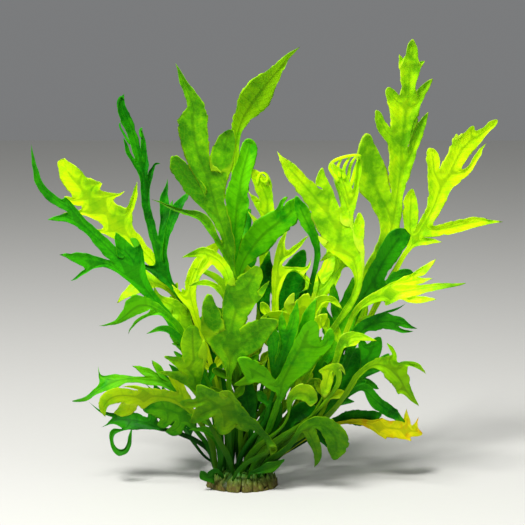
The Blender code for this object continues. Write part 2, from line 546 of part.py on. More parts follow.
frond("tall_left_frond", DARK, leaflets=[(62, 2.4, (-10, 4), (5, 10))],
    turn=-5, roll=0.8, spine=[
    (-20, 50, 1.5), (-31, 78, 1.6), (-42, 96, 1.8), (-48.5, 104.5, 1.8), (-53, 115, 1.7),
    (-55.5, 126.5, 1.9), (-59, 142, 2), (-61, 157, 1.9), (-62.8, 166.5, 1.9), (-65.5, 180, 2.2),
    (-69.3, 187, 2.1), (-71.5, 194, 1.5), (-70, 197.5)], lobes=[
    lobe(7, LEFT, (-69.6, 177), 1.2),
    way(3, LEFT, [(-58, 111.8, 1.3), (-62, 111.8, 2)], (-66, 115.3), forward=-1),
    way(7, RIGHT, [(-59.8, 170.5, 1.6)], (-60.3, 182)),
    way(6, RIGHT, [(-57, 159.5, 1.1), (-54.5, 163, 0.9)], (-52, 163)),
    way(4, RIGHT, [(-51, 133, 1.9), (-49.3, 144, 2.2)], (-48.7, 155.5),
        subs=[lobe(1, RIGHT, (-45.3, 145.5), 1)]),
    way(3, RIGHT, [(-50, 119, 1.2), (-48.3, 129, 1.6), (-45, 137.5, 2.2), (-41, 144.5, 1.8)], (-36.5, 150.5),
        forward=1.5)])

frond("left_arching_frond", LIME, leaflets=[(72, 2.2, (-8, 7), (8, 8))],
    turn=-4, roll=0.5, spine=[
    (-14, 60, 1.3), (-15.5, 88, 1.5), (-17.4, 103, 2.8, 1.8), (-19.5, 110.5, 4, 2.1),
    (-23.5, 115.5, 3.8, 2.5), (-30, 119, 2.5), (-36, 118.2, 1.6), (-41, 116.3)], lobes=[
    way(4, LEFT, [(-31, 112, 2.2)], (-35, 104))])

frond("left_strap_frond", LIME, turn=-4, spine=[
    (-18, 60, 1.2), (-17.5, 88, 1.5), (-19, 98, 1.7), (-23, 105, 1.7), (-30, 109, 1.4), (-36, 111)], lobes=[
    way(1, LEFT, [(-24, 101, 1.5), (-30.5, 103.2, 1.6)], (-38.5, 101.5))])

frond("left_upright_frond", LIME, leaflets=[(60, 2.2, (-9, 5), (6, 9))],
    turn=-4, spine=[
    (-23, 50, 1.3), (-31, 76, 1.5), (-36, 90, 2), (-38, 99.5, 2.4), (-36.2, 108, 2.9), (-31.5, 115.5, 3),
    (-26.5, 121, 2.4), (-21.8, 125.5)], lobes=[
    lobe(2, LEFT, (-46, 102), 1.6)])

frond("left_forked_frond", GREEN, turn=-4, roll=-0.6, spine=[
    (-26, 45, 1.3), (-35, 66, 1.4), (-43, 80, 1.5), (-50, 88, 1.5), (-56.5, 91.8, 2), (-63, 92.3, 5),
    (-68, 89, 3.8), (-73.5, 84.5, 1.4), (-84, 81.5)], lobes=[
    way(3, LEFT, [(-59, 86.5, 0.9), (-64.5, 83.5, 0.9)], (-68, 77.5)),
    lobe(1, LEFT, (-47, 73), 1.6)])

frond("left_curling_frond", GREEN, turn=-4, spine=[
    (-27, 42, 1.2), (-34, 60, 1.3), (-41, 72, 1.6), (-46.3, 78, 1.9), (-52, 80.7, 1.5), (-60, 77.3)])

frond("left_upper_frond", LIME, leaflets=[(66, 2.4, None, (6, 9))],
    turn=-6, roll=0.5, spine=[
    (-25, 55, 1.3), (-36, 80, 1.4), (-43, 94, 1.5), (-49, 101.3, 1.6), (-55, 104, 2.2), (-61, 104.5, 3.8),
    (-65.5, 100.5, 2.8), (-72.5, 94.5)], lobes=[
    lobe(4, RIGHT, (-65, 110.3), 2),
    lobe(2, RIGHT, (-43.5, 104), 1.6)])

frond("left_cluster_frond", LIME, turn=-4, spine=[
    (-25, 45, 1.3), (-33, 67, 1.4), (-38, 79, 2), (-42, 87.5, 3.2), (-46, 92, 3), (-51, 94, 2.2),
    (-54, 97, 1.5), (-55.5, 101.5)], lobes=[
    way(2, RIGHT, [(-40, 94, 2.2)], (-42, 100.5)),
    lobe(3, LEFT, (-50.5, 87), 1.8),
    lobe(2, LEFT, (-45, 81), 1.5)])

# Fronds of the front.
frond("front_middle_frond", OLIVE, leaflets=[(44, 2.2, (-9, 7), (8, 8))],
    roll=-0.3, spine=[
    (-18, 30, 1.4), (-18, 54, 1.5), (-18, 63, 3), (-17.5, 79, 4.5), (-14, 91, 6.5, 7.5), (-9, 101, 7, 6.8),
    (-5, 108, 4.8, 4.6), (-3.6, 113)], lobes=[
    way(2, LEFT, [(-26, 78, 5.8), (-27.3, 90, 4.2)], (-27.8, 98),
        forward=2, subs=[lobe(1, LEFT, (-32, 88), 1.2)]),
    way(2, RIGHT, [(-8, 75, 6.4), (0, 81, 4.8)], (7, 85), forward=3),
    lobe(4, LEFT, (-16, 106.5), 2),
    lobe(4, RIGHT, (2.4, 104), 1.8)])

frond("front_left_frond", OLIVE, turn=-4, roll=0.35, spine=[
    (-28, 30, 1.3), (-33, 46, 1.5), (-35, 55, 2.8), (-36, 65, 5.2), (-36.3, 74, 5.2), (-36.5, 79.5, 3.2),
    (-36.8, 82)], lobes=[
    way(1, LEFT, [(-44, 57, 2.4)], (-54, 58.8)),
    way(2, LEFT, [(-44, 64, 3)], (-50.8, 66)),
    way(2, RIGHT, [(-31, 67, 2.4)], (-30, 74.5))])

frond("front_right_frond", GREEN, turn=2, roll=0.3, spine=[
    (1, 26, 1.5), (5, 38, 1.6), (7, 46, 2), (8.5, 54, 3, 5), (12, 64, 1.6, 11), (16, 72.5, 2, 14),
    (20.5, 80, 2.4, 9), (26.5, 85)], lobes=[
    way(2, LEFT, [(0, 55.5, 3.6), (-7, 60, 4.8)], (-14.5, 66), forward=-1.5,
        subs=[way(1, LEFT, [(-9.5, 54, 2.2)], (-15.8, 51.3))]),
    lobe(5, RIGHT, (33, 80.5), 2.8, blunt=True)])

frond("inner_right_frond", GREEN, leaflets=[(42, 2.2, (-7, 7), None)],
    spine=[
    (0, 32, 1.3), (5, 52, 1.5), (8, 63, 2.6), (10.5, 71, 3.6), (13, 79, 2.8), (15.2, 87, 2), (16.5, 93.5)],
    lobes=[
    way(1, LEFT, [(4.6, 70, 3), (3.2, 78, 2.8)], (2.5, 86)),
    way(2, RIGHT, [(17.5, 77, 2.4), (22, 87, 2.4)], (25.5, 95.5)),
    way(3, LEFT, [(8.6, 82, 1.8)], (9.4, 89))])

frond("lime_crested_frond", LIME, roll=0.3, spine=[
    (7, 34, 1.3), (12, 58, 1.4), (15.5, 74, 2.2), (18, 84, 5.4), (20, 91.5, 5), (21.5, 98)], lobes=[
    way(2, LEFT, [(9, 84.5, 3.8), (4, 86, 3.4)], (-2, 85.5)),
    way(3, LEFT, [(12.5, 92.5, 2.6)], (14.5, 98.3)),
    way(2, RIGHT, [(26, 83, 3)], (31, 88.5), forward=1.5),
    way(3, RIGHT, [(27.5, 94, 2.2), (34, 94.5, 1.8)], (39.2, 89.6))])

frond("lime_forked_frond", LIME, leaflets=[(54, 2.4, None, (9, 4))],
    turn=2, roll=-0.5, spine=[
    (12, 42, 1.3), (20, 74, 1.3), (26, 93, 1.6), (31, 102, 2.1), (36, 109, 2), (40, 113.5, 1.8), (45, 111)],
    lobes=[
    way(4, LEFT, [(36, 118.3, 1.7), (31.5, 119, 1.7)], (27, 115)),
    way(2, LEFT, [(27, 103.5, 0.9)], (25.3, 109.5))])

frond("hanging_trident_frond", LIME, spine=[
    (22.3, 33.8, 1.2), (34.5, 48.5, 1.2), (37, 56, 1.5), (33.7, 60.7, 1.9), (31.3, 56, 2.4),
    (30.5, 50, 2.4), (30.3, 44.8)], lobes=[
    lobe(3, RIGHT, (26, 58.5), 1.3),
    way(2, RIGHT, [(38.5, 61, 1.1)], (40.5, 57))])

frond("front_paddle_frond", LIME, spine=[
    (10.2, 30, 1.2), (12, 40.5, 1.3), (13.2, 45.6, 1.9), (16.5, 47.8, 3.4), (21, 47.3, 4), (24, 44, 2.8),
    (23.6, 40.8)])

frond("front_dark_frond", DARK, spine=[
    (7, 24, 1.3), (12, 32, 2.5), (16, 37, 4), (20.5, 39.5, 3.6), (26, 41)], lobes=[
    way(0, RIGHT, [(17, 30.6, 2.3), (24, 28, 2.5), (30, 23.6, 2.2)], (37.5, 16), forward=1)])

frond("low_dark_frond", DARK, spine=[
    (1, 18, 1.3), (1.6, 26, 2.4), (3.4, 33, 3.8), (4.6, 38.5, 3.4), (6.6, 44.5)])

frond("middle_dark_frond", DARK, spine=[
    (-6.5, 26, 1.3), (-7.5, 37, 2.6), (-9, 44.5, 5.2), (-9.3, 51, 4.4), (-8, 56)])

frond("front_drooping_frond", OLIVE, roll=-0.2, spine=[
    (1.5, 17, 1.3), (0, 24, 1.4), (-6, 31, 3), (-14, 36, 5), (-22, 40.5, 5.4), (-29, 45, 4.8),
    (-32.5, 48, 3.4), (-35.5, 51.5)], lobes=[
    lobe(2, LEFT, (-9.5, 27), 2.2),
    way(3, LEFT, [(-20, 31, 4.6)], (-21.5, 25.5), forward=1),
    way(4, LEFT, [(-32, 37, 3.8)], (-37.5, 32), forward=1),
    lobe(5, LEFT, (-43, 44), 2.6),
    lobe(3, RIGHT, (-24, 46.8), 2.4),
    way(0, RIGHT, [(4, 19.5, 2.2)], (3, 15.5))])

frond("olive_cupped_frond", OLIVE, roll=0.5, spine=[
    (12.5, 20, 1.3), (17, 28, 1.5), (24.5, 31.6, 2.4), (31.5, 30.5, 5.2), (36, 24.5, 6), (36.5, 18, 4),
    (34.3, 13)], lobes=[
    way(1, RIGHT, [(24.6, 22.5, 2.6), (26.6, 16, 2)], (25, 9.5))])

# Low fronds of the right side.
frond("right_arched_frond", LIME, roll=-0.5, spine=[
    (25, 34, 1.2), (34, 60, 1.3), (37.8, 71.5, 1.6), (42.5, 75.8, 2.3), (48.5, 76.6, 1.9), (55.3, 74.3)],
    lobes=[
    lobe(2, RIGHT, (41.5, 69.8), 1.4)])

frond("right_hanging_frond", OLIVE, turn=6, roll=0.7, spine=[
    (33, 36, 1.3), (44, 53, 1.4), (51, 61, 1.6), (57.5, 63, 3.2), (63.5, 60, 4.6), (68.5, 54.5, 4.2),
    (71.5, 49.5, 2.6), (74, 45.5, 1.6), (77.3, 41.2)], lobes=[
    way(3, LEFT, [(65, 67.5, 1.4), (63, 71, 1.2)], (60.8, 74)),
    way(4, LEFT, [(72, 62.3, 1.5), (76, 61.3, 1.3)], (80, 57.6)),
    lobe(5, RIGHT, (66.3, 48), 1.4)])

frond("right_drooping_frond", DARK, turn=4, roll=-0.5, spine=[
    (28, 30, 1.3), (40, 45, 1.4), (48.5, 50.5, 1.9), (53, 46, 2.5), (58, 41.5, 2.8), (64, 38, 2.8),
    (70.5, 32.5)])

frond("wilted_frond", WILTED, turn=16, roll=-0.6, spine=[
    (26, 28.5, 1.2), (42, 33, 1.3), (53.5, 31, 2.4), (61, 29.8, 4), (68, 28.8, 4), (74, 27.8, 2.8),
    (77, 27.3, 2), (79.8, 27)], lobes=[
    lobe(2, LEFT, (59, 35.7), 2.4, blunt=True),
    way(4, LEFT, [(71.5, 34, 1.7)], (71.7, 38.5), subs=()),
    lobe(5, LEFT, (77.5, 34.5), 1.4),
    lobe(2, RIGHT, (60.5, 24), 1.2),
    lobe(4, RIGHT, (74.4, 22.5), 1.8)])

frond("right_oval_frond", DARK, turn=10, roll=0.5, spine=[
    (24, 25, 1.2), (33, 32.5, 1.5), (41, 34.5, 3.4), (48, 34.9, 3.8), (54, 35.8, 3), (59, 37.5)])

frond("inner_right_dark_frond", DARK, turn=4, spine=[
    (22, 33, 1.3), (32, 45, 2.2), (38, 54, 4.2), (43, 63, 4), (46.5, 72)], lobes=[
    way(0, RIGHT, [(37.5, 43.5, 2.8)], (44.5, 43)),
    way(1, RIGHT, [(44, 51, 2.6)], (50.5, 53.5)),
    way(1, LEFT, [(32, 57, 2.6)], (30, 64)),
    way(2, LEFT, [(37.5, 66, 2.2)], (37, 73))])

frond("right_leafy_frond", GREEN, turn=6, spine=[
    (12, 36, 1.3), (21, 52, 2.4), (28, 63, 4.4), (34.5, 74, 5.2), (39.5, 84, 4.6), (42.5, 94, 4.4),
    (44, 106)], lobes=[
    lobe(2, LEFT, (24, 76), 2.4),
    lobe(3, LEFT, (29, 92.5), 3),
    lobe(4, LEFT, (34, 104), 2.6),
    lobe(1, RIGHT, (33, 54), 2.4)])

frond("right_shaded_frond", DARK, turn=6, spine=[
    (27, 36, 1.3), (39, 50, 1.6), (46, 58, 3.4), (51.5, 65, 4.4), (55, 71.5, 3), (57, 77)], lobes=[
    way(1, RIGHT, [(51, 53, 2.8)], (57.5, 50.5)),
    way(2, LEFT, [(45, 66.5, 2.8)], (42.5, 73)),
    way(2, RIGHT, [(57, 62, 2.4)], (61, 67)),
    lobe(3, LEFT, (48.5, 76.5), 1.8)])

# Low fronds of the left side.
frond("left_low_frond", DARK, turn=-6, roll=0.5, spine=[
    (-27.5, 18.5, 1.3), (-35, 24, 1.3), (-45, 27.6, 1.3), (-54, 30, 1.5), (-61, 32.6, 3.2),
    (-67, 33.8, 4.6), (-72, 33.6, 4.2), (-76, 33, 1.8), (-82.4, 29.6)], lobes=[
    lobe(3, RIGHT, (-58, 42), 2.4),
    way(5, LEFT, [(-76.4, 27, 1.4), (-77, 21.5, 1.3), (-73.6, 18, 1.4), (-69.2, 19.4, 1.4), (-67.4, 24, 1.2)],
        (-66.6, 30)),
    way(6, RIGHT, [(-80, 36.8, 0.9)], (-88.7, 43))])

frond("left_yellow_frond", LIME, turn=-4, roll=-0.5, spine=[
    (-28, 26, 1.3), (-37, 38.5, 1.5), (-47, 45.3, 2.8), (-57, 46.6, 3.4), (-65, 46.3, 3.5),
    (-72.5, 46.9, 3.5), (-78.6, 45, 3), (-81.3, 41, 2.1), (-80, 37)], lobes=[
    lobe(3, LEFT, (-62, 39.8), 1.4),
    way(4, LEFT, [(-70, 40, 3.8)], (-76.5, 37)),
    way(1, RIGHT, [(-43, 50.5, 2.3)], (-48, 56.3)),
    way(3, RIGHT, [(-66, 51.5, 0.8)], (-72, 51.2))])

frond("left_whip_frond", GREEN, turn=-8, roll=0.6, spine=[
    (-30, 30, 1.3), (-42, 46, 1.4), (-51, 53.5, 2), (-59, 54.7, 2.3), (-67, 55.3, 1.5), (-75, 53.5, 3.2),
    (-82, 50, 2.3), (-87, 46.5, 1.3), (-92, 44, 1.1), (-101, 43)], lobes=[
    way(2, RIGHT, [(-60.5, 59, 1.9)], (-66.3, 61.6)),
    way(1, RIGHT, [(-53, 59, 1.8)], (-57.5, 64)),
    way(5, RIGHT, [(-83, 55.5, 1)], (-83.8, 61))])

frond("left_shaded_frond", GREEN, turn=-6, roll=-0.3, spine=[
    (-30, 24, 1.3), (-38, 33, 1.8), (-44, 37.5, 4.4), (-50, 39.5, 5.4), (-56, 40, 4), (-61, 38.5)], lobes=[
    way(1, LEFT, [(-43, 31, 3), (-46.5, 28, 2.2)], (-51, 27)),
    lobe(2, LEFT, (-54, 31), 2.2),
    way(1, RIGHT, [(-40, 43, 3)], (-41.5, 51)),
    lobe(3, RIGHT, (-55.5, 47), 2)])

frond("left_curved_frond", GREEN, roll=0.5, spine=[
    (-22.6, 16, 1.3), (-23.6, 22, 2.2), (-26.6, 26.4, 2.4), (-31.5, 29, 1.8), (-38.6, 28.4)], lobes=[
    way(1, RIGHT, [(-28.5, 32.6, 1.6), (-34, 35.8, 1.8)], (-39.4, 37.6))])

frond("ground_left_frond", GREEN, turn=6, roll=0.3, spine=[
    (-25.5, 8, 1.4), (-28, 4.6, 2.4), (-31, 5, 2.2), (-33, 8.5)], lobes=[
    lobe(0, LEFT, (-25, 0), 1.4)])

frond("ground_right_frond", GREEN, turn=4, spine=[
    (-5.5, 7, 1.3), (-1.5, 8.3, 2.1), (3, 9.6, 2.3), (6.5, 11.4, 1.6), (10, 14)])

# Fronds of the back, in planes of their own.
pinnate("back_tall_frond", GREEN, facing=184, height=146, sway=-6, lean=-18, bow=-8, breadth=13)
pinnate("back_right_frond", LIME, facing=148, height=128, sway=-22, lean=-34, bow=-8, breadth=19)
pinnate("back_left_frond", GREEN, facing=212, height=96, sway=4, lean=-40, bow=-8, breadth=17)
pinnate("back_low_right_frond", DARK, facing=128, height=58, sway=8, lean=-95, bow=-6, breadth=18)
pinnate("back_low_frond", OLIVE, facing=178, height=66, sway=4, lean=-90, bow=-6, breadth=21)
pinnate("back_base_frond", GREEN, facing=165, height=42, sway=-3, lean=-102, bow=-4, breadth=17)
pinnate("back_low_left_frond", DARK, facing=236, height=46, sway=-6, lean=-100, bow=-4, breadth=17)

grow_all()
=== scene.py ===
import json
import math
import random

import bmesh
import bpy
from mathutils import Matrix, Vector, noise


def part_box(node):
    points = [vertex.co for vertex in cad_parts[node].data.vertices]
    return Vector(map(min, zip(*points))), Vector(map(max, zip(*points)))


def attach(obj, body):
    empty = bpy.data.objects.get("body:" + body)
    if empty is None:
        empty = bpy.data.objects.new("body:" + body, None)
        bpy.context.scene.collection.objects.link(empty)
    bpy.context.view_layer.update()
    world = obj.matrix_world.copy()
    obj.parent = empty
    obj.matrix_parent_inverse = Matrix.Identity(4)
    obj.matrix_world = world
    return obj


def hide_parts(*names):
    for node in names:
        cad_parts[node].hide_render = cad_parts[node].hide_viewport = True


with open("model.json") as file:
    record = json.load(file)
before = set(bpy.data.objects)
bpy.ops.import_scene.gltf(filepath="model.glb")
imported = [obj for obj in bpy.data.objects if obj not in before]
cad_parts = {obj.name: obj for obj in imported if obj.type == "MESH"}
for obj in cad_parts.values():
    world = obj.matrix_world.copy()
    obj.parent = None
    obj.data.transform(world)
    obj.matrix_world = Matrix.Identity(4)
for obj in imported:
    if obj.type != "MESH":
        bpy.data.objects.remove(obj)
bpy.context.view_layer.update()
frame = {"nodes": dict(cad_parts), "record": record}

# Water sprite: lobed fronds in a loose tuft on one crown. Z is up and the front looks along -Y.
mm = 0.001
eyeHeight = 0.233       # metres, of the camera
eyeDistance = 1.0       # metres that it stands in front of the crown
sheetOf = bpy.context.scene.collection
slotOf = {row["node"]: row["material_slot"] for row in frame["record"]["subparts"]}
crownLow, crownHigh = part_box("crown")
crownMiddle = Vector(((crownLow.x + crownHigh.x) / 2, (crownLow.y + crownHigh.y) / 2, 0.0))


def hexColour(text):
    # sRGB hex to the linear values that shaders want
    values = [int(text[i:i + 2], 16) / 255 for i in (1, 3, 5)]
    return tuple(v / 12.92 if v <= 0.04045 else ((v + 0.055) / 1.055) ** 2.4 for v in values) + (1.0,)


def perMetre(sizeMm):
    # the scale of a noise or cell pattern whose features are sizeMm across
    return 1.0 / (sizeMm * mm)


def addNode(material, kind, settings=None, values=None, links=None):
    # one node: settings are its properties, values its sockets, links (socket: output of another node)
    tree = material.node_tree
    node = tree.nodes.new(kind)
    for key, value in (settings or {}).items():
        setattr(node, key, value)
    for key, value in (values or {}).items():
        node.inputs[key].default_value = value
    for key, output in (links or {}).items():
        tree.links.new(output, node.inputs[key])
    return node


def newMaterial(name):
    material = bpy.data.materials.new(name)
    material.use_nodes = True
    material.node_tree.nodes.clear()
    return material


def setRamp(node, stops):
    # stops: pairs of a position and a hex colour or grey value
    stops = list(stops)
    ramp = node.color_ramp
    while len(ramp.elements) < len(stops):
        ramp.elements.new(0.5)
    for element, (position, colour) in zip(ramp.elements, stops):
        element.position = position
        element.color = hexColour(colour) if isinstance(colour, str) else (colour, colour, colour, 1.0)
    return node


def mixColour(material, factor, first, second):
    # factor, first and second are outputs or plain values
    node = addNode(material, "ShaderNodeMix", {"data_type": "RGBA"})
    for key, value in ((0, factor), (6, first), (7, second)):
        if isinstance(value, bpy.types.NodeSocket):
            material.node_tree.links.new(value, node.inputs[key])
        else:
            node.inputs[key].default_value = value
    return node.outputs[2]


# Frond skin
frondSkin = {
    "patchMm": 14.0,        # broad shifts of tone along a blade
    "mottleMm": 3.2,        # blotches between the veins
    "mottleShare": 0.35,    # how much the blotches shift the tone
    "toneStops": (0.48, 0.64, 0.84),    # where the deep, middle and bright tones lie between patches
    "veinCellMm": 2.6,      # the net of veins, drawn coarser than the real 1 mm net so that it shows
    "veinWidth": 0.09,      # share of a cell that its vein takes
    "veinShare": 0.1,       # how much paler a vein of the net is
    "grainMm": 1.4,         # cells of the skin, also drawn coarser
    "sideVeinMm": 3.4,      # spacing of the veins that run from a midrib to the rims
    "sideVeinSlant": 1.5,   # how many spacings a side vein climbs on its way to the rim
    "sideVeinLine": (0.02, 0.16),       # spacings from its middle at which it starts to fade and is gone
    "sideVeinShare": 0.16,  # how much deeper it is
    "rimFrom": 0.88,        # share of the way to the rim at which its painted highlight, a paler line, starts
    "rimShare": 0.5,        # how much paler that line is
    "midribLine": (0.03, 0.16),         # shares of the way to the rim at which the midrib fades and is gone
    "midribShare": 0.4,     # how much of the stalk's tone it has
    "deadPatchMm": 6.0,     # blotches of dead tissue on a wilted frond
    "deadStops": (0.54, 0.66),          # where they start and where they are full
    "deadShare": 0.6,
    "grainRelief": 0.3,     # the height of the grain and of the side veins, with the net's as 1
    "sideVeinRelief": 1.2,
    "reliefMm": 0.18,
    "reliefStrength": 0.2,
    "translucency": 0.45,   # share of the light that goes through a blade
    "ior": 1.33,            # wet leaf skin
    "gleam": 0.22,          # a leaf that is wet through reflects little
    "shadeReach": 112.0,    # mm from the crown up to which painted shade shows, deepest inside the tuft
    "shadeShare": 0.95,     # how much of it there is at the crown
    "ownShift": 0.2,        # how far one frond's tone may lie from another's
}


def makeFrondSkin(name, deep, middle, bright, rim, stalk, shade, rough=(0.42, 0.65), patches=None):
    # Living fern tissue: thin, wet-looking and translucent. Light comes through it more yellow than off it,
    # its net of veins stands slightly proud, and a paler line painted along its rims stands for the light
    # they catch.
    material = newMaterial(name)
    place = addNode(material, "ShaderNodeTexCoord").outputs["Object"]
    across = addNode(material, "ShaderNodeAttribute", {"attribute_name": "across"}).outputs["Fac"]
    blade = addNode(material, "ShaderNodeAttribute", {"attribute_name": "blade"}).outputs["Fac"]
    reach = addNode(material, "ShaderNodeAttribute", {"attribute_name": "reach"}).outputs["Fac"]
    own = addNode(material, "ShaderNodeAttribute", {"attribute_name": "own"}).outputs["Fac"]
    patch = addNode(material, "ShaderNodeTexNoise", values={
        "Scale": perMetre(frondSkin["patchMm"]), "Detail": 3.0, "Roughness": 0.6}, links={"Vector": place})
    mottle = addNode(material, "ShaderNodeTexNoise", values={
        "Scale": perMetre(frondSkin["mottleMm"]), "Detail": 4.0, "Roughness": 0.65}, links={"Vector": place})
    blend = addNode(material, "ShaderNodeMath", {"operation": "MULTIPLY_ADD"},
                    {1: frondSkin["mottleShare"]},
                    {0: mottle.outputs["Fac"], 2: patch.outputs["Fac"]})
    shifted = addNode(material, "ShaderNodeMath", {"operation": "MULTIPLY_ADD"}, {1: frondSkin["ownShift"]},
                      {0: own, 2: blend.outputs[0]})
    tone = setRamp(addNode(material, "ShaderNodeValToRGB", links={"Fac": shifted.outputs[0]}),
                   zip(frondSkin["toneStops"], (deep, middle, bright)))
    cells = addNode(material, "ShaderNodeTexVoronoi", {"feature": "DISTANCE_TO_EDGE"},
                    {"Scale": perMetre(frondSkin["veinCellMm"])}, {"Vector": place})
    veins = setRamp(addNode(material, "ShaderNodeValToRGB", links={"Fac": cells.outputs["Distance"]}),
                    ((0.0, 1.0), (frondSkin["veinWidth"], 0.0)))
    veinShare = addNode(material, "ShaderNodeMath", {"operation": "MULTIPLY"}, {1: frondSkin["veinShare"]},
                        {0: veins.outputs["Color"]})
    skin = mixColour(material, veinShare.outputs[0], tone.outputs["Color"], hexColour(rim))
    # side veins leave the midrib at a slant, one after another along the frond
    climb = addNode(material, "ShaderNodeMath", {"operation": "MULTIPLY_ADD"},
                    {1: -frondSkin["sideVeinSlant"]}, {0: across, 2: reach})
    # and this is how far, in spacings, the nearest one is
    beside = addNode(material, "ShaderNodeMath", {"operation": "PINGPONG"}, {1: 0.5}, {0: climb.outputs[0]})
    fadeFrom, fadeTo = frondSkin["sideVeinLine"]
    sideLine = addNode(material, "ShaderNodeMapRange", {"interpolation_type": "SMOOTHSTEP"},
                       {1: fadeFrom, 2: fadeTo, 3: 1.0, 4: 0.0}, {0: beside.outputs[0]})
    sideShare = addNode(material, "ShaderNodeMath", {"operation": "MULTIPLY"},
                        {1: frondSkin["sideVeinShare"]}, {0: sideLine.outputs[0]})
    skin = mixColour(material, sideShare.outputs[0], skin, hexColour(deep))
    # painted highlight: the rims are made paler where they would catch the light
    rimLine = addNode(material, "ShaderNodeMapRange", {"interpolation_type": "SMOOTHSTEP"},
                      {1: frondSkin["rimFrom"], 2: 1.0, 3: 0.0, 4: frondSkin["rimShare"]}, {0: across})
    skin = mixColour(material, rimLine.outputs[0], skin, hexColour(rim))
    fadeFrom, fadeTo = frondSkin["midribLine"]
    midribLine = addNode(material, "ShaderNodeMapRange", {"interpolation_type": "SMOOTHSTEP"},
                         {1: fadeFrom, 2: fadeTo, 3: frondSkin["midribShare"], 4: 0.0}, {0: across})
    skin = mixColour(material, midribLine.outputs[0], skin, hexColour(stalk))
    skin = mixColour(material, blade, hexColour(stalk), skin)
    if patches:
        blotch = addNode(material, "ShaderNodeTexNoise", values={
            "Scale": perMetre(frondSkin["deadPatchMm"]), "Detail": 5.0}, links={"Vector": place})
        dead = setRamp(addNode(material, "ShaderNodeValToRGB", links={"Fac": blotch.outputs["Fac"]}),
                       zip(frondSkin["deadStops"], (0.0, frondSkin["deadShare"])))
        skin = mixColour(material, dead.outputs["Color"], skin, hexColour(patches))
    # painted shade: towards the crown, deep in the tuft, the skin is darkened to a deep green
    away = addNode(material, "ShaderNodeVectorMath", {"operation": "DISTANCE"}, {1: crownMiddle}, {0: place})
    paintedShade = addNode(material, "ShaderNodeMapRange", {"interpolation_type": "SMOOTHSTEP"},
                    {1: 0.0, 2: frondSkin["shadeReach"] * mm, 3: frondSkin["shadeShare"], 4: 0.0},
                    {0: away.outputs["Value"]})
    skin = mixColour(material, paintedShade.outputs[0], skin, hexColour(shade))
    grain = addNode(material, "ShaderNodeTexNoise", values={
        "Scale": perMetre(frondSkin["grainMm"]), "Detail": 2.0}, links={"Vector": place})
    net = addNode(material, "ShaderNodeMath", {"operation": "MULTIPLY_ADD"}, {1: frondSkin["grainRelief"]},
                  {0: grain.outputs["Fac"], 2: veins.outputs["Color"]})
    relief = addNode(material, "ShaderNodeMath", {"operation": "MULTIPLY_ADD"},
                     {1: frondSkin["sideVeinRelief"]}, {0: sideLine.outputs[0], 2: net.outputs[0]})
    bump = addNode(material, "ShaderNodeBump", values={
        "Strength": frondSkin["reliefStrength"], "Distance": frondSkin["reliefMm"] * mm},
                   links={"Height": relief.outputs[0]})
    # a noise hardly leaves the range from 0.3 to 0.7
    gloss = addNode(material, "ShaderNodeMapRange", values={1: 0.3, 2: 0.7, 3: rough[0], 4: rough[1]},
                    links={0: mottle.outputs["Fac"]})
    front = addNode(material, "ShaderNodeBsdfPrincipled",
                    values={"IOR": frondSkin["ior"], "Specular IOR Level": frondSkin["gleam"]},
                    links={"Base Color": skin, "Roughness": gloss.outputs[0], "Normal": bump.outputs[0]})
    through = addNode(material, "ShaderNodeBsdfTranslucent", links={"Color": skin, "Normal": bump.outputs[0]})
    both = addNode(material, "ShaderNodeMixShader", values={0: frondSkin["translucency"]},
                   links={1: front.outputs[0], 2: through.outputs[0]})
    addNode(material, "ShaderNodeOutputMaterial", links={"Surface": both.outputs[0]})
    return material


print("materials")
# Tones of each finish: deep, middle, bright, rim, stalk, and the painted shade near the crown
# The sunlit and shaded finishes are one green made paler and deeper: partly its own tone, partly painted
# light and shade.
frondColours = {
    "sunlit": ("#6CBC00", "#A8E800", "#DCFF00", "#ECFF40", "#58A400", "#1A6000"),
    "green": ("#149000", "#38B800", "#78E000", "#A0F010", "#1E7C00", "#064800"),
    "shaded": ("#045800", "#108800", "#38B400", "#68D810", "#0C5400", "#023000"),
    "olive": ("#3C9000", "#68BC00", "#A0E000", "#C4F010", "#347400", "#0E5000"),
    "wilted": ("#A0B800", "#D0D400", "#F0E800", "#F4EC40", "#5C8400", "#98A800"),
}
skins = {
    "frond_lime": makeFrondSkin("sunlit_frond_skin", *frondColours["sunlit"]),
    "frond_green": makeFrondSkin("green_frond_skin", *frondColours["green"]),
    "frond_dark": makeFrondSkin("shaded_frond_skin", *frondColours["shaded"]),
    "frond_olive": makeFrondSkin("olive_frond_skin", *frondColours["olive"]),
    "frond_wilted": makeFrondSkin("wilted_frond_skin", *frondColours["wilted"], rough=(0.5, 0.75),
                                  patches="#D88408"),
}

